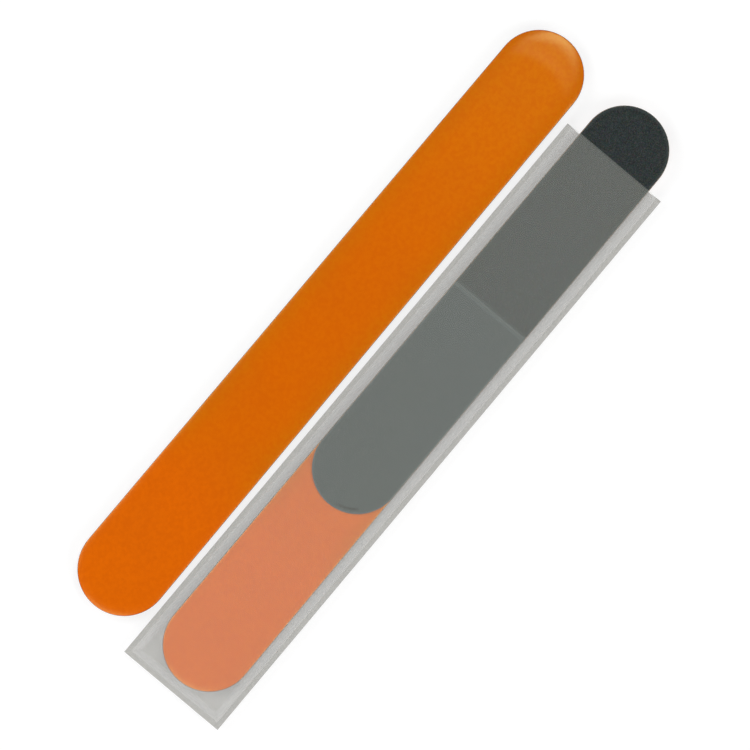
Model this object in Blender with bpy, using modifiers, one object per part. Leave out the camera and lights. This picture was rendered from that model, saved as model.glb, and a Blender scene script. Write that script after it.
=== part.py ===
"""A pair of cushioned emery boards with one film sleeve, in metres, +Z up.

One board lies bare with its plain face up. Its twin lies beside it with its file side up, in a smoke-grey
sleeve that leaves the tip out. Both boards run along X, with the file's tip at +X.

Each board is a die-cut laminate on a stiff core. On the plain side the core carries glue, foam, glue and a
cover sheet. On the file side it carries the same, and then two pads, coarse and fine, each made of glue,
paper and grit. The sleeve is two films, welded to each other along both sides and across one end.

Run it with blender --background --python part.py, or from Blender's text editor.
"""

import math
from collections import namedtuple

import bmesh
import bpy

MM = 0.001

# The board's outline: straight sides and half-round ends. It narrows a little towards the file's tip.
BOARD_LENGTH = 178.0 * MM
GRIP_WIDTH = 22.6 * MM
TIP_WIDTH = 21.7 * MM
END_STEPS = 14  # facets on each half-round end

# The crown of both faces. The die pinches the foam's rim as it cuts, and the sheets follow it down.
CROWN_WIDTH = 4.0 * MM
CROWN_DROP = 0.4 * MM
CROWN_SHARES = ((0.0, 1.0), (0.3, 0.35), (1.0, 0.0))  # way in, of the width; way down, of the drop

# Thickness of each kind of layer, and the gap that keeps a layer clear of the next.
CORE = 0.6 * MM
FOAM = 1.1 * MM
COVER = 0.2 * MM
GLUE = 0.06 * MM
PAPER = 0.2 * MM
GRIT = 0.15 * MM
SEAT_GAP = 0.02 * MM

# The two file pads: coarse from the tip on, then fine, whose far end is half round.
PAD_INSET = 0.15 * MM  # from the board's edge
COARSE_LENGTH = 61.2 * MM
FINE_LENGTH = 60.6 * MM
SEAM_GAP = 0.1 * MM
BARE_PAPER = 0.3 * MM  # left free of grit beside the seam

# The sleeve: two films, welded along their margins, which swell over the board between the welds.
FILM = 0.2 * MM
WELD = 0.1 * MM
WELD_WIDTH = 1.2 * MM
SIDE_ROOM = 2.2 * MM  # from a side weld to the board's widest place
END_ROOM = 2.0 * MM  # from the end weld to the board
SLIDE_GAP = 0.3 * MM  # between the board's faces and the films
TIP_SHOWN = 14.6 * MM
SLOPE_STEPS = 5

# How the bare board lies beside the sleeve.
PAIR_GAP = 1.5 * MM
BARE_LEAD = 0.8 * MM  # how far it lies ahead of its twin

CUT_OVERRUN = 1.0 * MM
SMOOTH_ANGLE = math.radians(30.0)

BOARD_WIDTH = max(GRIP_WIDTH, TIP_WIDTH)
SLEEVE_WIDTH = BOARD_WIDTH + 2 * (SIDE_ROOM + WELD_WIDTH)
SLEEVE_LENGTH = WELD_WIDTH + END_ROOM + BOARD_LENGTH - TIP_SHOWN

# Colour (linear), roughness and opacity of each finish.
FINISHES = {
    "orange_cover": ((0.70, 0.137, 0.003), 0.40, 1.0),
    "eva_foam": ((0.022, 0.024, 0.026), 0.85, 1.0),
    "polystyrene": ((0.74, 0.73, 0.70), 0.45, 1.0),
    "glue_film": ((0.62, 0.58, 0.46), 0.35, 1.0),
    "backing_paper": ((0.30, 0.31, 0.31), 0.80, 1.0),
    "coarse_grit": ((0.026, 0.036, 0.039), 0.90, 1.0),
    "fine_grit": ((0.042, 0.050, 0.052), 0.85, 1.0),
    "smoke_film": ((0.50, 0.49, 0.47), 0.30, 0.45),
}

# Which faces of a layer follow the crown: none, the outer one, or both.
FLAT, OUTER, BOTH = range(3)

# The layers on each side of the core, from the core outwards. A piece that doesn't cover the whole board has
# the name of its outline last.
Layer = namedtuple("Layer", "thickness crown pieces")
Piece = namedtuple("Piece", "name finish outline", defaults=(None,))
PLAIN_SIDE = (
    Layer(GLUE, FLAT, [Piece("plain_core_glue", "glue_film")]),
    Layer(FOAM, OUTER, [Piece("plain_foam", "eva_foam")]),
    Layer(GLUE, BOTH, [Piece("plain_cover_glue", "glue_film")]),
    Layer(COVER, BOTH, [Piece("plain_cover", "orange_cover")]),
)
FILE_SIDE = (
    Layer(GLUE, FLAT, [Piece("file_core_glue", "glue_film")]),
    Layer(FOAM, OUTER, [Piece("file_foam", "eva_foam")]),
    Layer(GLUE, BOTH, [Piece("file_cover_glue", "glue_film")]),
    Layer(COVER, BOTH, [Piece("file_cover", "orange_cover")]),
    Layer(
        GLUE,
        BOTH,
        [
            Piece("coarse_pad_glue", "glue_film", "coarse_pad"),
            Piece("fine_pad_glue", "glue_film", "fine_pad"),
        ],
    ),
    Layer(
        PAPER,
        BOTH,
        [
            Piece("coarse_paper", "backing_paper", "coarse_pad"),
            Piece("fine_paper", "backing_paper", "fine_pad"),
        ],
    ),
    Layer(
        GRIT,
        BOTH,
        [
            Piece("coarse_grit", "coarse_grit", "coarse_grit"),
            Piece("fine_grit", "fine_grit", "fine_grit"),
        ],
    ),
)


def side_height(layers):
    """From the core's middle to the outer face of these layers."""
    return CORE / 2 + sum(SEAT_GAP + layer.thickness for layer in layers)


PLAIN_HEIGHT = side_height(PLAIN_SIDE)
FILE_HEIGHT = side_height(FILE_SIDE)
POCKET_HEIGHT = SLIDE_GAP + PLAIN_HEIGHT + FILE_HEIGHT + SLIDE_GAP


def clear_scene():
    """Empties the scene."""
    for obj in list(bpy.data.objects):
        bpy.data.objects.remove(obj, do_unlink=True)


def new_collection(name, hidden=False):
    """A collection in the scene."""
    collection = bpy.data.collections.new(name)
    collection.hide_render = hidden
    bpy.context.scene.collection.children.link(collection)
    return collection


def make_materials():
    """One Principled material for each finish, by name."""
    materials = {}
    for name, (colour, roughness, opacity) in FINISHES.items():
        material = bpy.data.materials.new(name)
        material.use_nodes = True
        shader = material.node_tree.nodes["Principled BSDF"]
        shader.inputs["Base Color"].default_value = (*colour, 1.0)
        shader.inputs["Roughness"].default_value = roughness
        shader.inputs["Metallic"].default_value = 0.0
        shader.inputs["Alpha"].default_value = opacity
        materials[name] = material
    return materials


def finish_mesh(name, form):
    """A named mesh from a bmesh, with faces out and shaded smooth across its round ends."""
    bmesh.ops.recalc_face_normals(form, faces=form.faces[:])
    mesh = bpy.data.meshes.new(name)
    form.to_mesh(mesh)
    form.free()
    mesh.shade_smooth()
    mesh.set_sharp_from_angle(angle=SMOOTH_ANGLE)
    return mesh


def half_round(centre_x, radius, facing):
    """Points of a half circle about (centre_x, 0), anticlockwise. It bulges towards +X or -X."""
    turns = [step / END_STEPS - 0.5 for step in range(END_STEPS + 1)]
    return [
        (centre_x + facing * radius * math.cos(math.pi * turn), facing * radius * math.sin(math.pi * turn))
        for turn in turns
    ]


def outlines():
    """The outline of the board, of each pad and of each pad's grit, about the board's middle."""
    tip_radius, grip_radius = TIP_WIDTH / 2, GRIP_WIDTH / 2
    tip_x = BOARD_LENGTH / 2 - tip_radius
    grip_x = grip_radius - BOARD_LENGTH / 2

    def pad_side(x):
        """From the board's midline to a pad's edge, on the straight sides."""
        share = (x - grip_x) / (tip_x - grip_x)
        return grip_radius + (tip_radius - grip_radius) * share - PAD_INSET

    def squared(round_end, x):
        """A pad's outline, from its round end to a square edge at x."""
        last_y, first_y = round_end[-1][1], round_end[0][1]
        return round_end + [(x, math.copysign(pad_side(x), y)) for y in (last_y, first_y)]

    tip = half_round(tip_x, tip_radius - PAD_INSET, 1)
    coarse_edge = BOARD_LENGTH / 2 - PAD_INSET - COARSE_LENGTH
    fine_edge = coarse_edge - SEAM_GAP
    fine_radius = pad_side(fine_edge - FINE_LENGTH)
    fine_end = half_round(fine_edge - FINE_LENGTH + fine_radius, fine_radius, -1)
    return {
        "board": half_round(tip_x, tip_radius, 1) + half_round(grip_x, grip_radius, -1),
        "coarse_pad": squared(tip, coarse_edge),
        "coarse_grit": squared(tip, coarse_edge + BARE_PAPER),
        "fine_pad": squared(fine_end, fine_edge),
        "fine_grit": squared(fine_end, fine_edge - BARE_PAPER),
    }


def outline_face(form, outline, height=0.0):
    """One flat face over an outline."""
    face = form.faces.new([form.verts.new((x, y, height)) for x, y in outline])
    face.normal_update()
    return face


def layer_mesh(name, outline, thickness, crown):
    """A layer over the board's outline. Its inner face has its middle at z = 0, and its outer face is up."""
    form = bmesh.new()
    face = outline_face(form, outline)
    if crown != FLAT:
        reached = 0.0
        for inward, down in CROWN_SHARES:
            if inward > reached:
                ring = {"thickness": (inward - reached) * CROWN_WIDTH, "use_even_offset": True}
                bmesh.ops.inset_region(form, faces=[face], use_boundary=True, **ring)
                reached = inward
            for vert in face.verts:
                vert.co.z = -down * CROWN_DROP
    inner = form.verts[:]
    extruded = bmesh.ops.extrude_face_region(form, geom=form.faces[:])["geom"]
    outer = [item for item in extruded if isinstance(item, bmesh.types.BMVert)]
    bmesh.ops.translate(form, verts=outer, vec=(0.0, 0.0, thickness))
    if crown == OUTER:
        for vert in inner:
            vert.co.z = 0.0
    return finish_mesh(name, form)


def prism_mesh(name, outline, low, high):
    """A straight-sided solid over an outline."""
    form = bmesh.new()
    face = outline_face(form, outline, low)
    extruded = bmesh.ops.extrude_face_region(form, geom=[face])["geom"]
    upper = [item for item in extruded if isinstance(item, bmesh.types.BMVert)]
    bmesh.ops.translate(form, verts=upper, vec=(0.0, 0.0, high - low))
    return finish_mesh(name, form)


def box_mesh(name, length, width, height):
    """A box about the origin."""
    form = bmesh.new()
    bmesh.ops.create_cube(form, size=1.0)
    bmesh.ops.scale(form, vec=(length, width, height), verts=form.verts[:])
    return finish_mesh(name, form)


def ease(share):
    """Rises from 0 to 1, level at both ends, and stays level past them."""
    share = min(max(share, 0.0), 1.0)
    return share * share * (3 - 2 * share)


def film_mesh(name):
    """A film's inner face, from the closed end at x = 0 to the mouth. z = 0 is the middle of the welds."""
    slope = [step / SLOPE_STEPS for step in range(SLOPE_STEPS + 1)]
    half_width = SLEEVE_WIDTH / 2
    columns = [0.0] + [WELD_WIDTH + END_ROOM * share for share in slope] + [SLEEVE_LENGTH]
    side = [half_width] + [half_width - WELD_WIDTH - SIDE_ROOM * share for share in slope]
    rows = [-y for y in side] + side[::-1]
    low = WELD / 2 + SEAT_GAP
    rise = POCKET_HEIGHT / 2 - low

    form = bmesh.new()
    last_column, last_row = len(columns) - 1, len(rows) - 1
    bmesh.ops.create_grid(form, x_segments=last_column, y_segments=last_row, size=1.0)
    for vert in form.verts:
        x = columns[round((vert.co.x + 1) / 2 * last_column)]
        y = rows[round((vert.co.y + 1) / 2 * last_row)]
        past_end = ease((x - WELD_WIDTH) / END_ROOM)
        past_side = ease((half_width - WELD_WIDTH - abs(y)) / SIDE_ROOM)
        vert.co = (x, y, low + rise * past_end * past_side)
    mesh = bpy.data.meshes.new(name)
    form.to_mesh(mesh)
    form.free()
    mesh.shade_smooth()
    return mesh


class Builder:
    """Places the pieces in their collections, under one empty for each thing that moves by itself."""

    def __init__(self):
        self.parts = new_collection("emery_board_set")
        self.cutters = new_collection("cutters", hidden=True)
        self.materials = make_materials()
        self.outlines = outlines()

    def carrier(self, name, location, turned_over=False):
        """An empty on the axis along which its pieces move."""
        empty = bpy.data.objects.new(name, None)
        empty.location = location
        empty.rotation_euler.x = math.pi if turned_over else 0.0
        self.parts.objects.link(empty)
        return empty

    def piece(self, mesh, finish, carrier, location=(0.0, 0.0, 0.0), turned_over=False):
        """An object for a mesh, placed on its carrier."""
        mesh.materials.append(self.materials[finish])
        obj = bpy.data.objects.new(mesh.name, mesh)
        obj.parent = carrier
        obj.location = location
        obj.rotation_euler.x = math.pi if turned_over else 0.0
        self.parts.objects.link(obj)
        return obj

    def pad_cutters(self, prefix, carrier):
        """Solids over the outlines of a board's pads and their grit, by outline."""
        made = {}
        reach = FILE_HEIGHT + CUT_OVERRUN
        for key, outline in self.outlines.items():
            if key == "board":
                continue
            name = f"{prefix}_{key}_outline"
            cutter = bpy.data.objects.new(name, prism_mesh(name, outline, -reach, reach))
            cutter.parent = carrier
            cutter.hide_render = True
            cutter.display_type = "WIRE"
            self.cutters.objects.link(cutter)
            made[key] = cutter
        return made

    def board(self, prefix, location, file_up):
        """One emery board: its core, and the layers on either side of it."""
        carrier = self.carrier(f"{prefix}_board", location, turned_over=file_up)
        cutters = self.pad_cutters(prefix, carrier)
        outline = self.outlines["board"]
        core = layer_mesh(f"{prefix}_core", outline, CORE, FLAT)
        self.piece(core, "polystyrene", carrier, location=(0.0, 0.0, -CORE / 2))
        for side, layers in ((1, PLAIN_SIDE), (-1, FILE_SIDE)):
            level = CORE / 2
            for layer in layers:
                level += SEAT_GAP
                for piece in layer.pieces:
                    mesh = layer_mesh(f"{prefix}_{piece.name}", outline, layer.thickness, layer.crown)
                    place = (0.0, 0.0, side * level)
                    obj = self.piece(mesh, piece.finish, carrier, location=place, turned_over=side < 0)
                    if piece.outline:
                        cut = obj.modifiers.new("outline", "BOOLEAN")
                        cut.operation = "INTERSECT"
                        cut.object = cutters[piece.outline]
                level += layer.thickness

    def sleeve(self):
        """The two films and the three welds that join them."""
        middle = FILM + POCKET_HEIGHT / 2
        carrier = self.carrier("sleeve", (-SLEEVE_LENGTH / 2, 0.0, middle))
        for name, below in (("sleeve_upper_film", False), ("sleeve_lower_film", True)):
            film = self.piece(film_mesh(name), "smoke_film", carrier, turned_over=below)
            wall = film.modifiers.new("thickness", "SOLIDIFY")
            wall.thickness = FILM
            wall.offset = 1.0
            wall.use_even_offset = True
        end_weld = box_mesh("sleeve_end_weld", WELD_WIDTH, SLEEVE_WIDTH, WELD)
        self.piece(end_weld, "smoke_film", carrier, location=(WELD_WIDTH / 2, 0.0, 0.0))
        side_start = WELD_WIDTH + SEAT_GAP
        for name, side in (("sleeve_left_weld", 1), ("sleeve_right_weld", -1)):
            weld = box_mesh(name, SLEEVE_LENGTH - side_start, WELD_WIDTH, WELD)
            place = ((SLEEVE_LENGTH + side_start) / 2, side * (SLEEVE_WIDTH - WELD_WIDTH) / 2, 0.0)
            self.piece(weld, "smoke_film", carrier, location=place)


def main():
    """The sleeve with its board, and the bare board beside it."""
    clear_scene()
    builder = Builder()
    builder.sleeve()
    sleeved_x = WELD_WIDTH + END_ROOM + (BOARD_LENGTH - SLEEVE_LENGTH) / 2
    builder.board("sleeved", (sleeved_x, 0.0, FILM + SLIDE_GAP + PLAIN_HEIGHT), file_up=True)
    bare_y = (SLEEVE_WIDTH + BOARD_WIDTH) / 2 + PAIR_GAP
    builder.board("bare", (sleeved_x + BARE_LEAD, bare_y, FILE_HEIGHT), file_up=False)


main()
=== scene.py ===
"""Dresses a pair of cushioned emery boards and their film sleeve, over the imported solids.

Lengths are metres, written as millimetres times MM. A board's layers are shaped in the board's own frame,
with their outer face up and the middle of its core at the origin, and are then laid where their solids lie.
"""

import logging
import math
from dataclasses import dataclass, replace
from enum import Enum
from typing import Any

import bmesh
import bpy
from mathutils import Matrix, Vector, noise


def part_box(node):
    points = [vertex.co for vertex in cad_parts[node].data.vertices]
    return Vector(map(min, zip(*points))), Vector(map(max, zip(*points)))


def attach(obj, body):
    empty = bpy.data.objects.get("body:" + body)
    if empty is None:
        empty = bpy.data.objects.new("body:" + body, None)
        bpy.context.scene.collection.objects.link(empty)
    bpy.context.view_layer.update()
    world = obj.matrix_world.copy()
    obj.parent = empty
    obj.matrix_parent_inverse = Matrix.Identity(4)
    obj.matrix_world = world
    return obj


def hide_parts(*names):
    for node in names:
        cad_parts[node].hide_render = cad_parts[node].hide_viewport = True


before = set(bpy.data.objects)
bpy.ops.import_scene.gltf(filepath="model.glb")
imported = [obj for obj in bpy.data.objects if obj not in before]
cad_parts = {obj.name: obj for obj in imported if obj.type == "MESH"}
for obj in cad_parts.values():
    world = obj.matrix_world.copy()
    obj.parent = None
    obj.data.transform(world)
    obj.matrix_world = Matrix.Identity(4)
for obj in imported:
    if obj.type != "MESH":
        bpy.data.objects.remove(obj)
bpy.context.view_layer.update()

LOG = logging.getLogger("emery_board_set")

MM = 0.001
HALF_TURN = math.pi
ORIGIN = Vector((0.0, 0.0, 0.0))
UP = Vector((0.0, 0.0, 1.0))

# A cut passes through a point that is closer to it than this.
TOUCHING = 0.0001 * MM
# An edge that runs less than this across the sheet stands upright.
UPRIGHT = 0.001 * MM
# Edges that turn more than this are rounded, and those left are shaded sharp past the second angle.
ROUNDED_ANGLE = math.radians(50)
SHARP_ANGLE = math.radians(35)
# Soft noise has this mean, and its patches come in over this part of its range.
MEAN = 0.5
PATCHY = (0.3, 0.7)

# The glue stays this far inside the board's edge.
GLUE_INSET = 0.08 * MM

Colour = tuple[float, float, float, float]


def paint(red: int, green: int, blue: int) -> Colour:
    """A colour for a shader, from its display values.

    Args:
        red: The red value, from 0 to 255, as the green and blue ones.
        green: The green value.
        blue: The blue value.

    Returns:
        The linear colour, opaque.
    """
    shares = (red / 255, green / 255, blue / 255)
    linear = [share / 12.92 if share <= 0.04045 else ((share + 0.055) / 1.055) ** 2.4 for share in shares]
    return (*linear, 1.0)


class Value:
    """A shader socket that Python sums can use: each operator adds its Math node."""

    def __init__(self, bench: "ShaderBench", socket: bpy.types.NodeSocket) -> None:
        """Holds a socket of the bench's node tree."""
        self.bench = bench
        self.socket = socket

    def _math(self, operation: str, *operands: "Value | float") -> "Value":
        """The result of a Math node on the operands."""
        node = self.bench.node("Math", {"operation": operation}, dict(enumerate(operands)))
        return Value(self.bench, node.outputs[0])

    def __add__(self, other: "Value | float") -> "Value":
        """self + other."""
        return self._math("ADD", self, other)

    def __sub__(self, other: "Value | float") -> "Value":
        """self - other."""
        return self._math("SUBTRACT", self, other)

    def __rsub__(self, other: float) -> "Value":
        """other - self."""
        return self._math("SUBTRACT", other, self)

    def __mul__(self, other: "Value | float") -> "Value":
        """self * other."""
        return self._math("MULTIPLY", self, other)

    __radd__ = __add__
    __rmul__ = __mul__

    def between(self, low: float, high: float) -> "Value":
        """How far the value is along a range, eased at both ends.

        Args:
            low: Where the range starts.
            high: Where it stops.

        Returns:
            The share, from 0 to 1.
        """
        settings = {"interpolation_type": "SMOOTHSTEP"}
        sockets = {"Value": self, "From Min": low, "From Max": high}
        return Value(self.bench, self.bench.node("MapRange", settings, sockets).outputs["Result"])


class ShaderBench:
    """The node tree of one material, and the few ways in which its nodes are made."""

    def __init__(self, name: str) -> None:
        """Starts an empty material.

        Args:
            name: The material's name.
        """
        self.material = bpy.data.materials.new(name)
        self.material.use_nodes = True
        self.tree = self.material.node_tree
        self.tree.nodes.clear()

    def node(
        self,
        kind: str,
        settings: dict[str, Any] | None = None,
        sockets: dict[int | str, Any] | None = None,
    ) -> bpy.types.Node:
        """Adds a node.

        Args:
            kind: The node's type, without its ShaderNode.
            settings: Its properties, which are set first.
            sockets: The values or links of its inputs, by name or number.

        Returns:
            The node.
        """
        made = self.tree.nodes.new(f"ShaderNode{kind}")
        for name, setting in (settings or {}).items():
            setattr(made, name, setting)
        for key, source in (sockets or {}).items():
            if isinstance(source, Value):
                source = source.socket
            if isinstance(source, bpy.types.NodeSocket):
                self.tree.links.new(source, made.inputs[key])
            else:
                made.inputs[key].default_value = source
        return made

    def place(self, stretch: tuple[float, float, float] = (1.0, 1.0, 1.0)) -> bpy.types.NodeSocket:
        """The point on the piece, in metres, times a stretch along each axis."""
        point = self.node("TexCoord").outputs["Object"]
        return self.node("Mapping", {}, {"Vector": point, "Scale": stretch}).outputs["Vector"]

    def axis(self, letter: str) -> Value:
        """One coordinate of the point on the piece, in metres."""
        return Value(self, self.node("SeparateXYZ", {}, {0: self.place()}).outputs[letter])

    def away(self, point: Vector) -> Value:
        """How far the place on the piece is from a point."""
        sockets = {0: self.place(), 1: point}
        return Value(self, self.node("VectorMath", {"operation": "DISTANCE"}, sockets).outputs["Value"])

    def clouds(
        self,
        size: float,
        detail: float = 2.0,
        stretch: tuple[float, float, float] = (1.0, 1.0, 1.0),
    ) -> Value:
        """Soft noise around its mean.

        Args:
            size: The width of its blotches.
            detail: How many finer layers it has.
            stretch: How much closer it is packed along each axis.

        Returns:
            The noise.
        """
        sockets = {"Vector": self.place(stretch), "Scale": 1 / size, "Detail": detail}
        return Value(self, self.node("TexNoise", {}, sockets).outputs["Fac"])

    def grains(self, size: float) -> tuple[Value, Value, bpy.types.NodeSocket]:
        """Packed grains.

        Args:
            size: The width of a grain.

        Returns:
            How far a point is from its grain's middle, and that grain's number, from 0 to 1, and colour.
        """
        cells = self.node("TexVoronoi", {}, {"Vector": self.place(), "Scale": 1 / size})
        colour = cells.outputs["Color"]
        number = self.node("SeparateColor", {}, {0: colour}).outputs[0]
        return Value(self, cells.outputs["Distance"]), Value(self, number), colour

    def mark(self, name: str) -> Value:
        """A number that the mesh carries at each point."""
        return Value(self, self.node("Attribute", {"attribute_name": name}).outputs["Fac"])

    def blend(self, share: Value | float, first: Any, second: Any) -> bpy.types.NodeSocket:
        """The first colour where the share is 0, and the second where it is 1."""
        return self.node("Mix", {"data_type": "RGBA"}, {0: share, 6: first, 7: second}).outputs[2]

    def relief(self, height: Value, depth: float) -> bpy.types.NodeSocket:
        """The normal of a surface whose height varies from 0 to 1 times a depth."""
        return self.node("Bump", {}, {"Height": height, "Distance": depth}).outputs["Normal"]

    def finish(self, shader: bpy.types.NodeSocket) -> bpy.types.Material:
        """The material, with this shader as its surface."""
        self.node("OutputMaterial", {}, {"Surface": shader})
        return self.material


@dataclass(frozen=True)
class Finish:
    """A finish: its name, the record's slot that it belongs to, and how it reflects."""

    name: str
    slot: str
    roughness: float
    specular: float

    def plain(self) -> dict[str, Any]:
        """What is the same all over the surface, by the shader's input."""
        return {"Roughness": self.roughness, "Specular IOR Level": self.specular}

    def surface(self, bench: ShaderBench) -> dict[str, Any]:
        """What varies over the surface, by the shader's input."""
        raise NotImplementedError

    def material(self) -> bpy.types.Material:
        """Makes the material.

        Returns:
            A Principled material with this finish's plain values and what varies over it.
        """
        bench = ShaderBench(self.name)
        shader = bench.node("BsdfPrincipled", {}, {**self.plain(), **self.surface(bench)})
        return bench.finish(shader.outputs["BSDF"])


@dataclass(frozen=True)
class CoverFinish(Finish):
    """Satin coated sheet with a fine peel: painted light makes it a little redder and lighter at the grip, a
    painted highlight makes its tip yellower, and painted shade makes its rim darker and a little yellower.
    """

    # The grip colour is painted light: the grip end is lighter and redder than the body.
    grip_light_colour: Colour
    body_colour: Colour
    # The tip colour is a painted highlight: a yellower tint that grows towards the tip.
    tip_highlight_colour: Colour
    # The rim colour is painted shade: darker and a little yellower towards the edge, away from the grip.
    rim_shade_colour: Colour
    grip_end: float
    body_start: float
    tip_highlight_stretch: tuple[float, float]
    rim_shade_width: float
    peel: float
    gloss_tint: Colour
    speckle: float = 0.9 * MM
    speckle_colour: Colour = paint(208, 86, 0)
    speckle_share: float = 0.35
    patch: float = 14 * MM
    patch_colour: Colour = paint(150, 62, 2)
    patch_share: float = 0.05
    patch_sheen: float = 0.06
    peel_sheen: float = 0.04
    peel_depth: float = 0.003 * MM
    speckle_relief: float = 0.3

    def plain(self) -> dict[str, Any]:
        """The plain values, with the gloss tinted by the lacquer."""
        return {**super().plain(), "Specular Tint": self.gloss_tint}

    def surface(self, bench: ShaderBench) -> dict[str, Any]:
        """The colour along the board, with painted light at the grip, a painted highlight at the tip and
        painted shade at its rim, the sheen's patches and the peel.

        Args:
            bench: Where its nodes are made.

        Returns:
            The links, by the shader's input.
        """
        # Painted light: the colour runs from the lighter, redder grip into the body.
        along = bench.axis("X").between(self.grip_end, self.body_start)
        face = bench.blend(along, self.grip_light_colour, self.body_colour)
        # Painted highlight: the colour turns yellower towards the tip.
        face = bench.blend(bench.axis("X").between(*self.tip_highlight_stretch), face, self.tip_highlight_colour)
        # Painted shade: the rim is blended darker, fading out towards the grip.
        rim = (1 - bench.mark("margin").between(0.0, self.rim_shade_width)) * along
        rim_shaded = bench.blend(rim, face, self.rim_shade_colour)
        pigment = bench.clouds(self.speckle, detail=3.0)
        patches = bench.clouds(self.patch)
        speckled = bench.blend(pigment.between(*PATCHY) * self.speckle_share, rim_shaded, self.speckle_colour)
        colour = bench.blend(patches.between(*PATCHY) * self.patch_share, speckled, self.patch_colour)
        peel = bench.clouds(self.peel, detail=1.0)
        sheen = self.roughness + self.patch_sheen * (patches - MEAN)
        return {
            "Base Color": colour,
            "Roughness": sheen + self.peel_sheen * (peel - MEAN),
            "Normal": bench.relief(peel + self.speckle_relief * pigment, self.peel_depth),
        }


@dataclass(frozen=True)
class CreaseShade:
    """A short arc that something pressed into a pad, darkened as painted shade in its crease."""

    hub: Vector
    radius: float
    middle: Vector
    half_length: float
    half_width: float
    colour: Colour

    def mask(self, bench: ShaderBench) -> Value:
        """How much the mark shows at each point.

        Args:
            bench: Where its nodes are made.

        Returns:
            The share, from 0 to 1.
        """
        from_hub = bench.away(self.hub)
        inside = from_hub.between(self.radius - self.half_width, self.radius)
        outside = from_hub.between(self.radius, self.radius + self.half_width)
        beyond = bench.away(self.middle).between(self.half_length / 2, self.half_length)
        return inside * (1 - outside) * (1 - beyond)


@dataclass(frozen=True)
class GritFinish(Finish):
    """Abrasive grains in dark resin: each grain has its own grey, a few carry a painted glint, and the rim is
    paler, partly from wear and partly as painted sheen.

    The widths of the clumps and of the cast, and the height of the grains, are counted in grains.
    """

    grain: float
    resin: Colour
    dull_grain: Colour
    bright_grain: Colour
    # The worn colour paints a paler rim: partly wear, partly painted sheen.
    rim_wear_and_sheen: Colour
    wear_and_sheen_share: float
    wear_and_sheen_width: float
    # The sparkle is a painted glint: a small share of a random colour for each grain.
    painted_glint: float
    crease_shade: CreaseShade | None = None
    clump: float = 2.4
    cast: float = 4.0
    cast_range: tuple[float, float] = (0.35, 0.65)
    cast_colour: Colour = paint(36, 54, 58)
    cast_share: float = 0.25
    bedding: tuple[float, float] = (0.35, 0.75)
    grain_sheen: float = 0.15
    grain_height: float = 0.25

    def surface(self, bench: ShaderBench) -> dict[str, Any]:
        """The grains' greys with their painted glints, the bare resin between them, the cast of clumps of
        grains, the rim's wear and painted sheen, and the crease's painted shade.

        Args:
            bench: Where its nodes are made.

        Returns:
            The links, by the shader's input.
        """
        distance, number, glint_colours = bench.grains(self.grain)
        clumps = bench.clouds(self.clump * self.grain, detail=3.0)
        cast = bench.clouds(self.cast * self.grain, detail=1.0)
        grains = bench.blend(number * clumps.between(*PATCHY), self.dull_grain, self.bright_grain)
        # Painted glint: each grain takes a little of a random colour.
        glinted = bench.blend(self.painted_glint, grains, glint_colours)
        bedded = bench.blend(distance.between(*self.bedding), glinted, self.resin)
        tinted = bench.blend(cast.between(*self.cast_range) * self.cast_share, bedded, self.cast_colour)
        # Paler rim: partly wear, partly painted sheen.
        rim_wear_and_sheen = (1 - bench.mark("margin").between(0.0, self.wear_and_sheen_width)) * self.wear_and_sheen_share
        colour = bench.blend(rim_wear_and_sheen, tinted, self.rim_wear_and_sheen)
        # Painted shade: a darker arc where the pad is creased.
        if self.crease_shade:
            colour = bench.blend(self.crease_shade.mask(bench), colour, self.crease_shade.colour)
        return {
            "Base Color": colour,
            "Roughness": self.roughness - self.grain_sheen * number,
            "Normal": bench.relief(1 - distance, self.grain_height * self.grain),
        }


@dataclass(frozen=True)
class FoamFinish(Finish):
    """Closed-cell foam, cut through, so that its cells lie open along the edge; the dark of the open hollows
    is painted shade.

    The width of the patches and the depth of the cells are counted in cells.
    """

    cell: float
    wall: Colour
    # The hollow colour is painted shade in the open cells.
    hollow_shade: Colour
    opening: tuple[float, float] = (0.15, 0.55)
    patch: float = 6.0
    patch_share: float = 0.3
    cell_sheen: float = 0.1
    cell_depth: float = 0.3

    def surface(self, bench: ShaderBench) -> dict[str, Any]:
        """Paler walls round hollows darkened as painted shade, with more of that shade in patches.

        Args:
            bench: Where its nodes are made.

        Returns:
            The links, by the shader's input.
        """
        distance, number, _ = bench.grains(self.cell)
        opened = distance.between(*self.opening)
        # Painted shade: the cells' hollows are darker than their walls.
        colour = bench.blend(opened, self.hollow_shade, self.wall)
        patches = bench.clouds(self.patch * self.cell)
        return {
            "Base Color": bench.blend(patches * self.patch_share, colour, self.hollow_shade),
            "Roughness": self.roughness - self.cell_sheen * number,
            "Normal": bench.relief(opened, self.cell_depth * self.cell),
        }


@dataclass(frozen=True)
class SheetFinish(Finish):
    """A plain sheet with fine streaks along the board, whose run is their length over their width."""

    colour: Colour
    streak_colour: Colour
    streak: float
    run: float
    depth: float
    streak_range: tuple[float, float] = (0.25, 0.75)
    streak_sheen: float = 0.12

    def surface(self, bench: ShaderBench) -> dict[str, Any]:
        """The streaks' colour, sheen and relief.

        Args:
            bench: Where its nodes are made.

        Returns:
            The links, by the shader's input.
        """
        streaks = bench.clouds(self.streak, detail=4.0, stretch=(1 / self.run, 1.0, 1.0))
        return {
            "Base Color": bench.blend(streaks.between(*self.streak_range), self.colour, self.streak_colour),
            "Roughness": self.roughness + self.streak_sheen * (streaks - MEAN),
            "Normal": bench.relief(streaks, self.depth),
        }


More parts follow.
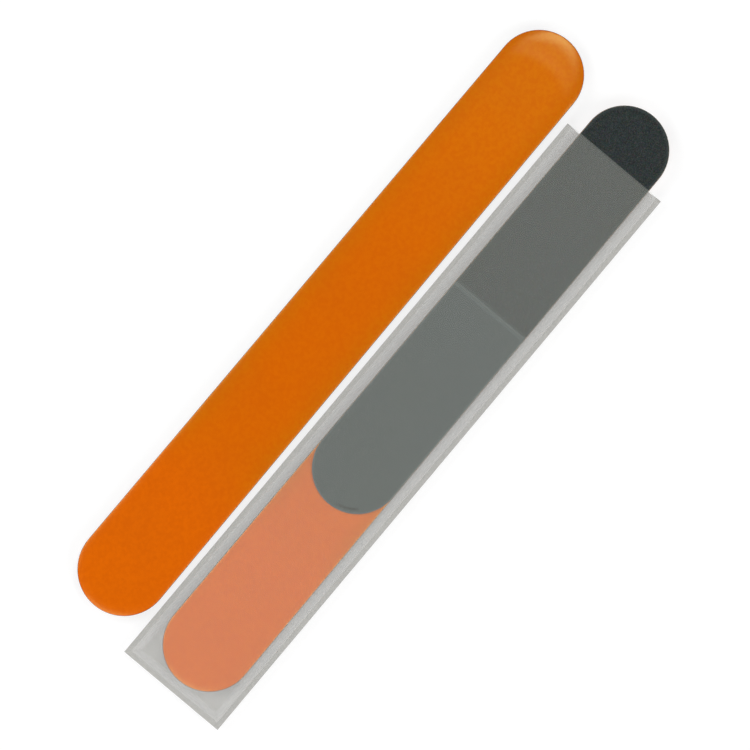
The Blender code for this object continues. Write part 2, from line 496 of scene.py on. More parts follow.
@dataclass(frozen=True)
class FilmFinish(Finish):
    """Translucent smoke-grey film, hazed by frost and by long draw lines."""

    haze: Colour
    tint: Colour
    cover: float
    cover_spread: float
    # Thinning lowers the cover on the slopes: partly film drawn thin, partly painted light that lifts their
    # shade.
    slope_thinning_and_painted_light: float
    line: float = 1.2 * MM
    line_run: float = 50.0
    frost: float = 0.5 * MM
    patch: float = 18 * MM
    patch_sheen: float = 0.10

    def surface(self, bench: ShaderBench) -> dict[str, Any]:
        """The haze's colour, how much it covers, less on the slopes, partly as the film drawn thin and partly
        as painted light that lifts their shade, and its sheen.

        Args:
            bench: Where its nodes are made.

        Returns:
            The links, by the shader's input.
        """
        lines = bench.clouds(self.line, detail=1.0, stretch=(1 / self.line_run, 1.0, 1.0))
        frost = bench.clouds(self.frost, detail=1.0)
        patches = bench.clouds(self.patch)
        cover = self.cover + self.cover_spread * (lines + frost + patches - 3 * MEAN)
        return {
            "Base Color": bench.blend(patches.between(*PATCHY), self.haze, self.tint),
            # Painted light: less cover on the slopes, partly film drawn thin, partly to lift their shade.
            "Alpha": cover * (1 - self.slope_thinning_and_painted_light * bench.mark("slope")),
            "Roughness": self.roughness + self.patch_sheen * (patches - MEAN),
        }


COVER = CoverFinish(
    name="satin_orange_sheet",
    slot="orange_cover",
    roughness=0.25,
    specular=0.48,
    # The grip colour is painted light, lighter and redder than the body.
    grip_light_colour=paint(225, 103, 1),
    body_colour=paint(218, 104, 0),
    # Painted highlight: the yellower tint towards the tip.
    tip_highlight_colour=paint(219, 116, 2),
    # Painted shade at the rim.
    rim_shade_colour=paint(209, 109, 2),
    grip_end=-46 * MM,
    body_start=-24 * MM,
    tip_highlight_stretch=(15 * MM, 105 * MM),
    rim_shade_width=6.0 * MM,
    peel=0.35 * MM,
    gloss_tint=(1.0, 1.0, 0.38, 1.0),
)
FILE_COVER = replace(
    COVER,
    name="satin_orange_sheet_even",
    grip_light_colour=paint(221, 107, 0),
    body_colour=paint(221, 107, 0),
)
COARSE_GRIT = GritFinish(
    name="coarse_black_grit",
    slot="coarse_grit",
    roughness=0.85,
    specular=0.3,
    grain=0.20 * MM,
    resin=paint(17, 23, 21),
    dull_grain=paint(22, 29, 26),
    bright_grain=paint(47, 56, 52),
    # Paler rim: partly wear, partly painted sheen.
    rim_wear_and_sheen=paint(76, 85, 84),
    wear_and_sheen_share=0.35,
    wear_and_sheen_width=0.9 * MM,
    # Painted glint on the grains.
    painted_glint=0.03,
)
FINE_GRIT = GritFinish(
    name="fine_dark_grit",
    slot="fine_grit",
    roughness=0.80,
    specular=0.3,
    grain=0.12 * MM,
    resin=paint(52, 61, 60),
    dull_grain=paint(58, 66, 65),
    bright_grain=paint(78, 87, 85),
    # Paler rim: partly wear, partly painted sheen.
    rim_wear_and_sheen=paint(104, 116, 116),
    wear_and_sheen_share=0.35,
    wear_and_sheen_width=0.7 * MM,
    # Painted glint on the grains.
    painted_glint=0.02,
    # Painted shade along a crease in the fine pad.
    crease_shade=CreaseShade(
        hub=Vector((-13.4, 0.0, 4.57)) * MM,
        radius=9.6 * MM,
        middle=Vector((-22.0, -4.2, 4.57)) * MM,
        half_length=3.4 * MM,
        half_width=0.6 * MM,
        colour=paint(28, 34, 33),
    ),
)
FOAM = FoamFinish(
    name="charcoal_foam",
    slot="eva_foam",
    roughness=0.90,
    specular=0.2,
    cell=0.14 * MM,
    wall=paint(52, 52, 54),
    # Painted shade in the open cells.
    hollow_shade=paint(20, 21, 23),
)
CORE = SheetFinish(
    name="white_polystyrene",
    slot="polystyrene",
    roughness=0.45,
    specular=0.5,
    colour=paint(222, 220, 215),
    streak_colour=paint(206, 203, 197),
    streak=0.12 * MM,
    run=18.0,
    depth=0.010 * MM,
)
GLUE = SheetFinish(
    name="transfer_adhesive",
    slot="glue_film",
    roughness=0.35,
    specular=0.5,
    colour=paint(208, 199, 176),
    streak_colour=paint(186, 174, 146),
    streak=0.20 * MM,
    run=6.0,
    depth=0.006 * MM,
)
PAPER = SheetFinish(
    name="backing_paper",
    slot="backing_paper",
    roughness=0.80,
    specular=0.2,
    colour=paint(88, 97, 95),
    streak_colour=paint(74, 82, 81),
    streak=0.15 * MM,
    run=4.0,
    depth=0.012 * MM,
)
FILM = FilmFinish(
    name="smoke_film",
    slot="smoke_film",
    roughness=0.50,
    specular=0.15,
    haze=paint(247, 250, 239),
    tint=paint(245, 248, 239),
    cover=0.064,
    cover_spread=0.005,
    # Less cover on the slopes: partly film drawn thin, partly painted light.
    slope_thinning_and_painted_light=0.10,
)
BACK_FILM = replace(
    FILM,
    name="smoke_film_back",
    haze=paint(160, 157, 152),
    tint=paint(157, 154, 149),
    cover=0.41,
    cover_spread=0.003,
    # Less cover on the slopes: partly film drawn thin, partly painted light.
    slope_thinning_and_painted_light=0.25,
)
WELD = replace(
    FILM,
    name="fused_film",
    roughness=0.45,
    haze=paint(199, 197, 194),
    tint=paint(197, 195, 192),
    cover=0.50,
    cover_spread=0.004,
    slope_thinning_and_painted_light=0.0,
)


def clamped(share: float) -> float:
    """The share, kept from 0 to 1."""
    return min(max(share, 0.0), 1.0)


def ease(share: float) -> float:
    """Rises from 0 to 1, level at both ends, and stays level past them."""
    share = clamped(share)
    return share * share * (3 - 2 * share)


@dataclass(frozen=True)
class Cut:
    """A straight cut through a sheet. What lies past the point, in the direction away, falls off."""

    point: Vector
    away: Vector

    def room(self, x: float, y: float) -> float:
        """How far a point is from the cut, on the side that stays."""
        return (self.point.x - x) * self.away.x + (self.point.y - y) * self.away.y


class Workpiece:
    """A mesh on the bench, shaped with bmesh operators until it is a piece."""

    def __init__(self, mark: str) -> None:
        """Starts with an empty mesh, whose points carry a number of this name."""
        self.form = bmesh.new()
        self.mark = self.form.verts.layers.float.new(mark)

    def grid(self, low: Vector, high: Vector, pitch: float) -> None:
        """Lays a level grid at height 0.

        Args:
            low: Its lowest corner from above.
            high: Its highest corner.
            pitch: About how wide its squares are.
        """
        size = high - low
        middle = (low + high) / 2
        spread = Matrix.Diagonal((size.x / 2, size.y / 2, 1.0, 1.0))
        place = Matrix.Translation((middle.x, middle.y, 0.0)) @ spread
        columns, rows = round(size.x / pitch), round(size.y / pitch)
        bmesh.ops.create_grid(self.form, x_segments=columns, y_segments=rows, size=1.0, matrix=place)

    def shift(self, way: Vector) -> None:
        """Moves the whole piece."""
        bmesh.ops.translate(self.form, verts=self.form.verts[:], vec=way)

    def trim(self, cuts: list[Cut]) -> None:
        """Cuts the sheet along each cut, through the faces that it reaches.

        Args:
            cuts: The cuts.
        """
        for cut in cuts:
            near = [face for face in self.form.faces if min(cut.room(*v.co.xy) for v in face.verts) < 0]
            if not near:
                continue
            edges = {edge for face in near for edge in face.edges}
            verts = {vert for face in near for vert in face.verts}
            geometry = [*near, *edges, *verts]
            plane = {"plane_co": cut.point, "plane_no": cut.away, "clear_outer": True}
            bmesh.ops.bisect_plane(self.form, geom=geometry, dist=TOUCHING, **plane)

    def thicken(self, thickness: float) -> tuple[list[bmesh.types.BMVert], list[bmesh.types.BMVert]]:
        """Pulls the sheet's faces up into a slab.

        Args:
            thickness: How far up.

        Returns:
            The points of its lower face, and those of its upper face.
        """
        lower = self.form.verts[:]
        pulled = bmesh.ops.extrude_face_region(self.form, geom=self.form.faces[:])["geom"]
        upper = [item for item in pulled if isinstance(item, bmesh.types.BMVert)]
        bmesh.ops.translate(self.form, verts=upper, vec=UP * thickness)
        bmesh.ops.recalc_face_normals(self.form, faces=self.form.faces[:])
        return lower, upper

    def soften(self, width: float) -> None:
        """Rounds the edges at which the surface turns a corner.

        Args:
            width: How far the rounding reaches.
        """
        edges = [edge for edge in self.form.edges if edge.calc_face_angle(0.0) > ROUNDED_ANGLE]
        rounding = {"affect": "EDGES", "segments": 2, "profile": 0.5, "material": -1}
        bmesh.ops.bevel(self.form, geom=edges, offset=width, offset_type="OFFSET", **rounding)

    def mesh(self, name: str) -> bpy.types.Mesh:
        """Takes the piece off the bench.

        Args:
            name: The mesh's name.

        Returns:
            The finished mesh, shaded smooth except at its sharp edges.
        """
        made = bpy.data.meshes.new(name)
        self.form.to_mesh(made)
        self.form.free()
        made.shade_smooth()
        made.set_sharp_from_angle(angle=SHARP_ANGLE)
        return made


def put(name: str, data: bpy.types.ID) -> bpy.types.Object:
    """Puts a mesh, a lamp or a lens into the scene.

    Args:
        name: The object's name.
        data: What the object holds.

    Returns:
        The object, at the origin.
    """
    made = bpy.data.objects.new(name, data)
    bpy.context.scene.collection.objects.link(made)
    return made


def set_down(
    mesh: bpy.types.Mesh,
    name: str,
    material: bpy.types.Material,
    finish: Finish,
    body: str,
    node: str,
) -> bpy.types.Object:
    """Makes a piece of a mesh that already lies in its place.

    Args:
        mesh: The mesh.
        name: The piece's name.
        material: Its material.
        finish: The finish that the material has.
        body: The body that it moves with.
        node: The solid that it stands for.

    Returns:
        The piece.
    """
    mesh.materials.clear()
    mesh.materials.append(material)
    piece = put(name, mesh)
    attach(piece, body)
    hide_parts(node)
    LOG.info("%s: %d faces, %s", name, len(mesh.polygons), finish.name)
    return piece


@dataclass(frozen=True)
class Give:
    """A soft step down towards the tip. It starts this far past the half round's centre."""

    start: float
    reach: float
    depth: float


@dataclass(frozen=True)
class BoardShape:
    """The board from above, about the middle of its length, and the crown of its faces."""

    length: float
    grip_width: float
    tip_width: float = 21.7 * MM
    crown_width: float = 4.0 * MM
    crown_drop: float = 0.4 * MM
    gives: tuple[Give, ...] = (
        Give(start=1.65 * MM, reach=4.5 * MM, depth=0.22 * MM),
        Give(start=4.9 * MM, reach=4.7 * MM, depth=0.20 * MM),
    )
    give_bow: float = 11.0 * MM
    arc_steps: int = 32

    @property
    def ends(self) -> tuple[tuple[float, float, int], tuple[float, float, int]]:
        """The centre, radius and facing of the tip's half round, and of the grip's."""
        tip_radius, grip_radius = self.tip_width / 2, self.grip_width / 2
        return (self.length / 2 - tip_radius, tip_radius, 1), (grip_radius - self.length / 2, grip_radius, -1)

    def half_width(self, x: float) -> float:
        """From the midline to the edge, on the straight sides."""
        (tip_x, tip_radius, _), (grip_x, grip_radius, _) = self.ends
        return grip_radius + (tip_radius - grip_radius) * (x - grip_x) / (tip_x - grip_x)

    def margin(self, x: float, y: float) -> float:
        """How far in from the edge a point lies.

        Args:
            x: The point's place along the board.
            y: Its place across.

        Returns:
            The distance, below 0 outside the board.
        """
        for centre, radius, facing in self.ends:
            if (x - centre) * facing > 0:
                return radius - math.hypot(x - centre, y)
        return self.half_width(x) - abs(y)

    def drop(self, x: float, y: float) -> float:
        """How far the crown falls below the middle of the face at a point."""
        share = 1 - clamped(self.margin(x, y) / self.crown_width)
        return self.crown_drop * share**3

    def dip(self, x: float, y: float) -> float:
        """How far the plain side's cushion gives towards the tip at a point.

        Args:
            x: The point's place along the board.
            y: Its place across.

        Returns:
            The depth.
        """
        tip_x = self.ends[0][0]
        ahead = math.hypot(max(x - tip_x + self.give_bow, 0.0), y) - self.give_bow
        return sum(give.depth * ease((ahead - give.start) / give.reach) for give in self.gives)

    def outline(self, work: Workpiece, inset: float) -> bmesh.types.BMFace:
        """Turns the two half-round ends, joins them and fills the outline.

        Args:
            work: The workpiece that it is drawn on.
            inset: How far inside the board's edge it runs.

        Returns:
            The face inside it, facing up.
        """
        corners = []
        for centre, radius, facing in self.ends:
            start = work.form.verts.new((centre, (inset - radius) * facing, 0.0))
            turn = {"cent": (centre, 0.0, 0.0), "axis": UP, "angle": HALF_TURN, "steps": self.arc_steps}
            turned = bmesh.ops.spin(work.form, geom=[start], use_duplicate=False, **turn)["geom_last"]
            corners += [start, turned[0]]
        tip_start, tip_end, grip_start, grip_end = corners
        bmesh.ops.contextual_create(work.form, geom=[tip_end, grip_start])
        bmesh.ops.contextual_create(work.form, geom=[grip_end, tip_start])
        bmesh.ops.edgeloop_fill(work.form, edges=work.form.edges[:])
        face = work.form.faces[:][0]
        face.normal_update()
        if face.normal.z < 0:
            face.normal_flip()
            face.normal_update()
        return face


@dataclass(frozen=True)
class PadShape:
    """One pad, or its grit: square at the seam, and half round at its other end."""

    board: BoardShape
    seam: float
    end: float
    inset: float

    def cuts(self) -> list[Cut]:
        """The cuts that leave the pad of a sheet that starts at its seam.

        Returns:
            The cuts along the two sides, and those round the end.
        """
        facing = 1 if self.end > self.seam else -1
        radius = self.board.half_width(self.end) - self.inset
        if facing > 0:
            radius = self.board.tip_width / 2 - self.inset
        centre = self.end - facing * radius
        (tip_x, tip_radius, _), (grip_x, grip_radius, _) = self.board.ends
        made = []
        for side in (-1, 1):
            away = Vector((grip_radius - tip_radius, side * (tip_x - grip_x), 0.0)).normalized()
            made.append(Cut(Vector((grip_x, side * (grip_radius - self.inset), 0.0)), away))
        steps = self.board.arc_steps
        for step in range(steps):
            turn = HALF_TURN * ((step + 0.5) / steps - 0.5)
            away = Vector((facing * math.cos(turn), math.sin(turn), 0.0))
            reach = radius * math.cos(HALF_TURN / steps / 2)
            made.append(Cut(Vector((centre, 0.0, 0.0)) + away * reach, away))
        return made


class Crown(Enum):
    """Which faces of a layer follow the crown."""

    NONE = 0
    OUTER = 1
    BOTH = 2


class Side(Enum):
    """The side of the core that a layer is on."""

    PLAIN = 1
    FILE = -1


class Pad(Enum):
    """The pad that a layer belongs to."""

    COARSE = 1
    FINE = -1


@dataclass(frozen=True)
class Layer:
    """One sheet of a board: its solid, its piece's name, and how it is made."""

    node: str
    piece: str
    side: Side
    crown: Crown
    finish: Finish
    inset: float = 0.0
    soft_edge: float = 0.0
    pinch: float = 0.0
    pad: Pad | None = None
    pitch: float = 0.8 * MM
    seam_reach: float = 0.0
    grain: float = 0.0
    relief: float = 0.0


def side_layers(side: Side, cover: Finish, cover_inset: float) -> tuple[Layer, ...]:
    """The layers on one side of the core.

    Args:
        side: The side.
        cover: The finish of its orange sheet.
        cover_inset: How far the sheet stays inside the board's edge.

    Returns:
        The layers, from the core out.
    """
    name = side.name.lower()
    glue = {"finish": GLUE, "inset": GLUE_INSET}
    sheet = {"finish": cover, "inset": cover_inset, "soft_edge": 0.04 * MM}
    return (
        Layer(f"{name}_core_glue", f"inner_glue_{name}_side", side, Crown.NONE, **glue),
        Layer(f"{name}_foam", f"cushion_{name}_side", side, Crown.OUTER, FOAM, pinch=0.07 * MM),
        Layer(f"{name}_cover_glue", f"outer_glue_{name}_side", side, Crown.BOTH, **glue),
        Layer(f"{name}_cover", f"orange_sheet_{name}_side", side, Crown.BOTH, **sheet),
    )


def pad_layers(pad: Pad, grit: Finish, grain: float, relief: float) -> tuple[Layer, ...]:
    """The layers of one pad.

    Args:
        pad: The pad.
        grit: The finish of its grains.
        grain: How wide a grain's rise is in the mesh.
        relief: How high it is.

    Returns:
        The layers, from the glue out.
    """
    name = pad.name.lower()
    place = {"side": Side.FILE, "crown": Crown.BOTH, "pad": pad}
    raised = {"pitch": 0.24 * MM, "grain": grain, "relief": relief}
    return (
        Layer(f"{name}_pad_glue", f"pad_glue_{name}", finish=GLUE, **place),
        Layer(f"{name}_paper", f"pad_paper_{name}", finish=PAPER, seam_reach=0.045 * MM, **place),
        Layer(f"{name}_grit", f"grit_{name}", finish=grit, **raised, **place),
    )


COARSE_LAYERS = pad_layers(Pad.COARSE, COARSE_GRIT, grain=0.45 * MM, relief=0.07 * MM)
FINE_LAYERS = pad_layers(Pad.FINE, FINE_GRIT, grain=0.40 * MM, relief=0.035 * MM)
LAYERS = (
    Layer("core", "core_sheet", Side.PLAIN, Crown.NONE, CORE, inset=0.05 * MM, soft_edge=0.06 * MM),
    *side_layers(Side.PLAIN, COVER, cover_inset=GLUE_INSET),
    *side_layers(Side.FILE, FILE_COVER, cover_inset=0.13 * MM),
    *(layer for pair in zip(COARSE_LAYERS, FINE_LAYERS) for layer in pair),
)


@dataclass
class BoardMaker:
    """Shapes each layer of a board once, in the board's own frame, from one board's solids.

    The pattern is the start of those solids' names. That board's plain side is up.
    """

    pattern: str
    # Where the crown is cut into rings, from the edge inwards.
    crown_rings: tuple[float, ...] = (0.0, 0.03, 0.08, 0.16, 0.26, 0.38, 0.52, 0.68, 0.84, 1.0)
    slice_width: float = 0.7 * MM
    pinch_cuts: int = 3
    worn_rim: float = 0.4 * MM
    rim_wear: float = 0.7

    def __post_init__(self) -> None:
        """Reads the board's sizes and shapes its layers."""
        low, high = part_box(f"{self.pattern}_core")
        self.middle = (low + high) / 2
        self.shape = BoardShape(length=high.x - low.x, grip_width=high.y - low.y)
        self.meshes: dict[str, bpy.types.Mesh] = {}
        for layer in LAYERS:
            self.meshes[layer.node] = self.pad_layer(layer) if layer.pad else self.whole_layer(layer)

    def heights(self, layer: Layer) -> tuple[float, float]:
        """Reads where a layer lies.

        Args:
            layer: The layer.

        Returns:
            The height of its outer face over the core's middle, and its thickness.
        """
        low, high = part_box(f"{self.pattern}_{layer.node}")
        outer = high.z - self.middle.z if layer.side is Side.PLAIN else self.middle.z - low.z
        crown = self.shape.crown_drop if layer.crown is Crown.BOTH else 0.0
        return outer, high.z - low.z - crown

    def mark_margins(self, work: Workpiece, cuts: list[Cut]) -> None:
        """Leaves the distance from the edge at each point, for the finishes.

        Args:
            work: The layer.
            cuts: The cuts that shaped it, besides the board's own edge.
        """
        for vert in work.form.verts:
            x, y = vert.co.xy
            vert[work.mark] = min([self.shape.margin(x, y), *(cut.room(x, y) for cut in cuts)])

    def fall(self, layer: Layer, x: float, y: float) -> float:
        """How far a layer's outer face lies below its middle at a point.

        Args:
            layer: The layer.
            x: The point's place along the board.
            y: Its place across.

        Returns:
            The depth of the crown, with the plain side's give.
        """
        if layer.crown is Crown.NONE:
            return 0.0
        give = self.shape.dip(x, y) if layer.side is Side.PLAIN else 0.0
        return self.shape.drop(x, y) + give

    def whole_layer(self, layer: Layer) -> bpy.types.Mesh:
        """A layer that covers the whole board.

        Args:
            layer: The layer.

        Returns:
            Its mesh, with its outer face up.
        """
        shape = self.shape
        outer, thickness = self.heights(layer)
        work = Workpiece("margin")
        face = shape.outline(work, layer.inset)
        if layer.crown is not Crown.NONE:
            for start, stop in zip(self.crown_rings, self.crown_rings[1:]):
                step = (stop - start) * shape.crown_width
                ring = {"thickness": step, "use_even_offset": True, "use_boundary": True}
                bmesh.ops.inset_region(work.form, faces=[face], **ring)
            if layer.side is Side.PLAIN:
                self.slice_tip(work)
        _, upper = work.thicken(thickness)
        for vert in upper if layer.crown is Crown.OUTER else work.form.verts:
            vert.co.z -= self.fall(layer, *vert.co.xy)
        if layer.pinch:
            self.pinch_edge(work, layer, thickness)
        if layer.soft_edge:
            work.soften(layer.soft_edge)
        self.mark_margins(work, [])
        work.shift(UP * (outer - thickness))
        return work.mesh(layer.piece)

    def slice_tip(self, work: Workpiece) -> None:
        """Cuts the flat middle up near the tip, across and along, so that it can bend.

        Args:
            work: The layer, still a flat sheet.
        """
        tip_x, tip_radius, _ = self.shape.ends[0]
        slices = round(tip_radius / self.slice_width)
        steps = range(-slices, slices)
        cuts = [((tip_x + step * self.slice_width, 0.0, 0.0), (1.0, 0.0, 0.0)) for step in steps]
        cuts += [((0.0, step * self.slice_width, 0.0), (0.0, 1.0, 0.0)) for step in steps[1:]]
        for point, way in cuts:
            geometry = [*work.form.faces, *work.form.edges, *work.form.verts]
            plane = {"plane_co": point, "plane_no": way}
            bmesh.ops.bisect_plane(work.form, geom=geometry, dist=TOUCHING, **plane)

    def pinch_edge(self, work: Workpiece, layer: Layer, thickness: float) -> None:
        """Draws the middle of a slab's cut edge in, as foam springs back behind the blade.

        Args:
            work: The slab, with its lower face at height 0.
            layer: The layer that it is.
            thickness: The slab's thickness in its middle.
        """
        runs = {edge: edge.verts[0].co.xy - edge.verts[1].co.xy for edge in work.form.edges}
        walls = [edge for edge, run in runs.items() if run.length < UPRIGHT]
        cut = {"edges": walls, "cuts": self.pinch_cuts, "use_grid_fill": True}
        made = bmesh.ops.subdivide_edges(work.form, **cut)["geom_inner"]
        rings = [item for item in made if isinstance(item, bmesh.types.BMVert)]
        for vert in rings:
            share = vert.co.z / (thickness - self.fall(layer, *vert.co.xy))
            inward = layer.pinch * math.sin(HALF_TURN * share)
            for centre, _, facing in self.shape.ends:
                if (vert.co.x - centre) * facing > 0:
                    hub = Vector((centre, 0.0))
                    break
            else:
                hub = Vector((vert.co.x, 0.0))
            way = (hub - vert.co.xy).normalized()
            vert.co.xy += way * inward

    def pad_layer(self, layer: Layer) -> bpy.types.Mesh:
        """A layer of one pad: a grid that is trimmed to the pad's outline.

        Args:
            layer: The layer.

        Returns:
            Its mesh, with its outer face up.
        """
        shape = self.shape
        outer, thickness = self.heights(layer)
        low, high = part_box(f"{self.pattern}_{layer.node}")
        near, far = low.x - self.middle.x, high.x - self.middle.x
        if layer.pad is Pad.COARSE:
            near -= layer.seam_reach
            seam, end = near, far
        else:
            far += layer.seam_reach
            seam, end = far, near
        inset = shape.length / 2 - (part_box(f"{self.pattern}_coarse_paper")[1].x - self.middle.x)
        pad = PadShape(shape, seam, end, inset)
        cuts = pad.cuts()
        work = Workpiece("margin")
        reach = shape.grip_width / 2
        work.grid(Vector((near, -reach, 0.0)), Vector((far, reach, 0.0)), layer.pitch)
        work.trim(cuts)
        _, upper = work.thicken(thickness)
        facing = 1 if seam > end else -1
        cuts.append(Cut(Vector((seam, 0.0, 0.0)), Vector((facing, 0.0, 0.0))))
        self.mark_margins(work, cuts)
        for vert in work.form.verts:
            vert.co.z -= shape.drop(*vert.co.xy)
        if layer.relief:
            for vert in upper:
                grain = noise.voronoi(vert.co.to_3d() / layer.grain)[0][0]
                rim = max(1 - vert[work.mark] / self.worn_rim, 0.0)
                vert.co.z -= layer.relief * (min(grain, 1.0) + self.rim_wear * rim**2)
        work.shift(UP * (outer - thickness))
        return work.mesh(layer.piece)


@dataclass(frozen=True)
class EmeryBoard:
    """One board of the set, laid where its solids are."""

    name: str
    body: str
    file_up: bool

    def place(self, side: Side) -> Matrix:
        """From a layer with its outer face up to where it lies on this board.

        Args:
            side: The layer's side.

        Returns:
            The turn and the move, as one matrix.
        """
        low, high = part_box(f"{self.name}_core")
        turned = Matrix.Rotation(HALF_TURN if self.file_up else 0.0, 4, "X")
        over = Matrix.Rotation(HALF_TURN if side is Side.FILE else 0.0, 4, "X")
        return Matrix.Translation((low + high) / 2) @ turned @ over

    def build(self, maker: BoardMaker, materials: dict[str, bpy.types.Material]) -> None:
        """Lays every layer.

        Args:
            maker: Has the meshes of the layers.
            materials: The materials, by finish.
        """
        for layer in LAYERS:
            mesh = maker.meshes[layer.node].copy()
            mesh.transform(self.place(layer.side))
            piece, node = f"{self.name}_{layer.piece}", f"{self.name}_{layer.node}"
            set_down(mesh, piece, materials[layer.finish.name], layer.finish, self.body, node)


def steepness(share: float) -> float:
    """How steeply ease rises, as a share of its steepest."""
    share = clamped(share)
    return 4 * share * (1 - share)


@dataclass(frozen=True)
class FilmSleeve:
    """The two films and the welds between them."""

    body: str = "sleeve"
    thickness: float = 0.2 * MM
    slope_steps: int = 12
    weld_steps: int = 3
    flat_pitch: float = 0.9 * MM
    sag: float = 0.09 * MM
    rib: float = 0.7 * MM
    rib_depth: float = 0.010 * MM
    weld_gap: float = 0.02 * MM
    sag_length: float = 22 * MM
    sag_width: float = 9 * MM
    # Keeps the back film's sag apart from the front one's.
    back_sag: float = 3.0

    def stations(self, *stretches: tuple[float, float, int]) -> list[float]:
        """Places along an axis, evenly spaced within each stretch.

        Args:
            stretches: Each one's start, stop and number of steps.

        Returns:
            The places, from the first start to the last stop.
        """
        made = [stretches[0][0]]
        for start, stop, steps in stretches:
            made += [start + (stop - start) * (step + 1) / steps for step in range(steps)]
        return made

    def film(self, node: str, name: str, finish: Finish, material: bpy.types.Material, below: bool) -> None:
        """One film, which swells over the board between its welds.

        Args:
            node: Its solid.
            name: The piece's name.
            finish: Its finish.
            material: Its material.
            below: Whether it is the film under the board.
        """
        low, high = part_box(node)
        board_low, board_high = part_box("sleeved_core")
        weld_low, weld_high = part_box("sleeve_left_weld")
        end_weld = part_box("sleeve_end_weld")[1].x
        half, weld, board = high.y, weld_low.y, board_high.y
        middle = (weld_low.z + weld_high.z) / 2
        nearest, farthest = (middle - high.z, middle - low.z) if below else (low.z - middle, high.z - middle)
        rise = farthest - self.thickness - nearest
        board_steps = round(2 * board / self.flat_pitch)
        rows = self.stations(
            (-half, -weld, self.weld_steps),
            (-weld, -board, self.slope_steps),
            (-board, board, board_steps),
            (board, weld, self.slope_steps),
            (weld, half, self.weld_steps),
        )
        columns = self.stations(
            (low.x, end_weld, self.weld_steps),
            (end_weld, board_low.x, self.slope_steps),
            (board_low.x, high.x, round((high.x - board_low.x) / self.flat_pitch)),
        )
        work = Workpiece("slope")
        last_column, last_row = len(columns) - 1, len(rows) - 1
        bmesh.ops.create_grid(work.form, x_segments=last_column, y_segments=last_row, size=1.0)
        for vert in work.form.verts:
            x = columns[round((vert.co.x + 1) / 2 * last_column)]
            y = rows[round((vert.co.y + 1) / 2 * last_row)]
            from_end = (x - end_weld) / (board_low.x - end_weld)
            from_side = (weld - abs(y)) / (weld - board)
            swell = ease(from_end) * ease(from_side)
            end_slope = steepness(from_end) * ease(from_side)
            vert[work.mark] = max(end_slope, steepness(from_side) * ease(from_end))
            sag_point = Vector((x / self.sag_length, y / self.sag_width, self.back_sag if below else 0.0))
            dip = (1 + noise.noise(sag_point)) / 2
            vert.co = (x, y, nearest + swell * (rise - self.sag * dip))
        if below:
            over = Matrix.Rotation(HALF_TURN, 3, "X")
            bmesh.ops.rotate(work.form, verts=work.form.verts[:], cent=ORIGIN, matrix=over)
        work.shift(UP * middle)
        piece = set_down(work.mesh(name), name, material, finish, self.body, node)
        wall = piece.modifiers.new("thickness", "SOLIDIFY")
        wall.thickness = self.thickness
        wall.offset = 1.0
        wall.use_even_offset = True

    def weld(self, node: str, name: str, material: bpy.types.Material) -> None:
        """One weld: a thin band, ribbed across by the jaws that fused it.

        Args:
            node: Its solid.
            name: The piece's name.
            material: Its material.
        """
        low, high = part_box(node)
        work = Workpiece("slope")
        work.grid(low, high, self.rib / 4)
        height = high.z - low.z - 2 * self.weld_gap
        work.thicken(height - 2 * self.rib_depth)
        along = 0 if high.x - low.x > high.y - low.y else 1
        for vert in work.form.verts:
            vert.co.z += self.rib_depth * (1 + math.cos(2 * HALF_TURN * vert.co[along] / self.rib))
        work.shift(UP * (low.z + self.weld_gap))
        set_down(work.mesh(name), name, material, WELD, self.body, node)

    def build(self, materials: dict[str, bpy.types.Material]) -> None:
        """Lays the films and the welds.

        Args:
            materials: The materials, by finish.
        """
        self.film("sleeve_upper_film", "sleeve_front_sheet", FILM, materials[FILM.name], below=False)
        self.film("sleeve_lower_film", "sleeve_back_sheet", BACK_FILM, materials[BACK_FILM.name], below=True)
        for place in ("left", "right", "end"):
            self.weld(f"sleeve_{place}_weld", f"sleeve_{place}_seal", materials[WELD.name])


@dataclass(frozen=True)
class Softbox:
    """A square lamp that faces the set. Azimuth 0 is towards +X, and 90 towards +Y."""

    name: str
    azimuth: float
    elevation: float
    power: float
    distance: float = 1.4
    size: float = 0.8

    def hang(self) -> None:
        """Puts the lamp up."""
        lamp = bpy.data.lights.new(self.name, "AREA")
        lamp.shape = "SQUARE"
        lamp.size = self.size
        lamp.energy = self.power
        turn, tilt = math.radians(self.azimuth), math.radians(self.elevation)
        away = Vector((math.cos(turn) * math.cos(tilt), math.sin(turn) * math.cos(tilt), math.sin(tilt)))
        holder = put(self.name, lamp)
        holder.location = away * self.distance
        holder.rotation_euler = away.to_track_quat("Z", "Y").to_euler()
        LOG.info("%s: %g W", self.name, self.power)


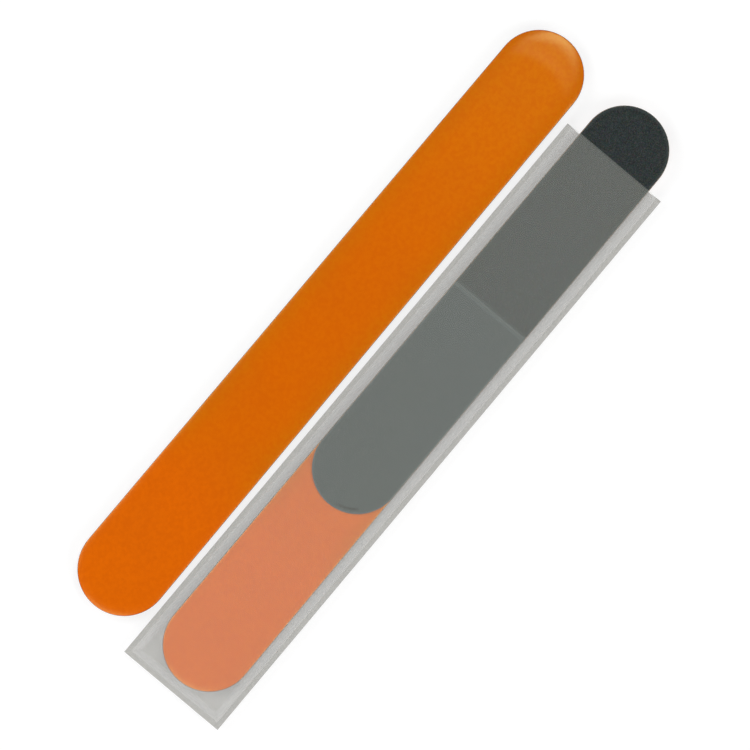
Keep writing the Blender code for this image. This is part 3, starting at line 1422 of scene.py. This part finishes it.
@dataclass(frozen=True)
class Studio:
    """The floor, the light and the camera."""

    floor_reach: float = 2.5
    floor_bend: float = 0.6
    floor_wall: float = 1.2
    floor_gap: float = 0.03 * MM
    bend_steps: int = 12
    floor_steps: int = 96
    matt_white: float = 0.80
    seen_white: float = 0.28
    glow: float = 0.76
    world_light: float = 0.03
    lens: float = 200.0
    camera_height: float = 1009 * MM
    camera_x: float = 6.83 * MM
    camera_y: float = 11.27 * MM
    camera_turn: float = -50.0
    camera_reach: tuple[float, float] = (0.1, 20.0)

    def floor(self) -> None:
        """A round sweep: a level floor whose edge curves up into a wall."""
        work = Workpiece("reach")
        work.form.verts.new(ORIGIN)
        start = work.form.verts.new((self.floor_reach, 0.0, 0.0))
        bmesh.ops.contextual_create(work.form, geom=work.form.verts[:])
        hub = (self.floor_reach, 0.0, self.floor_bend)
        turn = {"cent": hub, "axis": (0.0, -1.0, 0.0), "angle": HALF_TURN / 2, "steps": self.bend_steps}
        curved = bmesh.ops.spin(work.form, geom=[start], **turn)["geom_last"]
        raised = bmesh.ops.extrude_vert_indiv(work.form, verts=curved)["verts"]
        bmesh.ops.translate(work.form, verts=raised, vec=UP * self.floor_wall)
        sweep = {"cent": ORIGIN, "axis": UP, "angle": 2 * HALF_TURN, "steps": self.floor_steps}
        line = work.form.verts[:] + work.form.edges[:]
        bmesh.ops.spin(work.form, geom=line, use_merge=True, **sweep)
        bmesh.ops.remove_doubles(work.form, verts=work.form.verts[:], dist=0.1 * MM)
        work.shift(-UP * self.floor_gap)
        bmesh.ops.recalc_face_normals(work.form, faces=work.form.faces[:])
        mesh = work.mesh("studio_floor")
        mesh.materials.append(self.floor_material())
        floor = put("studio_floor", mesh)

    def floor_material(self) -> bpy.types.Material:
        """Matt white, with a glow that only the camera, gloss and clear film see.

        Returns:
            A material that shows as white and keeps the boards' shadow.
        """
        bench = ShaderBench("studio_white")
        path = bench.node("LightPath").outputs
        kinds = [Value(bench, path[f"Is {kind} Ray"]) for kind in ("Camera", "Glossy", "Transmission")]
        seen = (kinds[0] + kinds[1] + kinds[2]).between(0.0, 1.0)
        matt, white = (
            bench.node("BsdfDiffuse", {}, {"Color": (share, share, share, 1.0)}).outputs[0]
            for share in (self.matt_white, self.seen_white)
        )
        glow = bench.node("Emission", {}, {"Color": (1.0, 1.0, 1.0, 1.0), "Strength": self.glow}).outputs[0]
        shown = bench.node("AddShader", {}, {0: white, 1: glow}).outputs[0]
        return bench.finish(bench.node("MixShader", {}, {0: seen, 1: matt, 2: shown}).outputs[0])

    def light(self) -> None:
        """The world and the lamps."""
        world = bpy.data.worlds.new("studio_air")
        world.use_nodes = True
        sockets = world.node_tree.nodes["Background"].inputs
        sockets["Color"].default_value = (1.0, 1.0, 1.0, 1.0)
        sockets["Strength"].default_value = self.world_light
        bpy.context.scene.world = world
        for lamp in (
            Softbox("tip_softbox", azimuth=11, elevation=59.5, power=4.5, distance=1.35, size=0.41),
            Softbox("left_softbox", azimuth=105, elevation=40, power=8.55),
            Softbox("grip_softbox", azimuth=190, elevation=44, power=7.0),
            Softbox("right_softbox", azimuth=275, elevation=40, power=8.45),
        ):
            lamp.hang()

    def camera(self) -> None:
        """A long lens that looks straight down, turned so that the boards lie across the frame."""
        lens = bpy.data.cameras.new("photo_camera")
        lens.lens = self.lens
        lens.clip_start, lens.clip_end = self.camera_reach
        camera = put("photo_camera", lens)
        camera.location = (self.camera_x, self.camera_y, self.camera_height)
        camera.rotation_euler.z = math.radians(self.camera_turn)
        bpy.context.scene.camera = camera

    def build(self) -> None:
        """Sets the studio up."""
        self.floor()
        self.light()
        self.camera()
        bpy.context.scene.view_settings.view_transform = "Standard"


def main() -> None:
    """Builds the two boards, the sleeve and the studio."""
    logging.basicConfig(level=logging.INFO, format="%(message)s")
    finishes = (COVER, FILE_COVER, COARSE_GRIT, FINE_GRIT, FOAM, CORE, GLUE, PAPER, FILM, BACK_FILM, WELD)
    materials = {finish.name: finish.material() for finish in finishes}
    maker = BoardMaker("bare")
    for board in (
        EmeryBoard("sleeved", body="sleeved_board", file_up=True),
        EmeryBoard("bare", body="bare_board", file_up=False),
    ):
        board.build(maker, materials)
    FilmSleeve().build(materials)
    Studio().build()


if __name__ == "__main__":
    main()
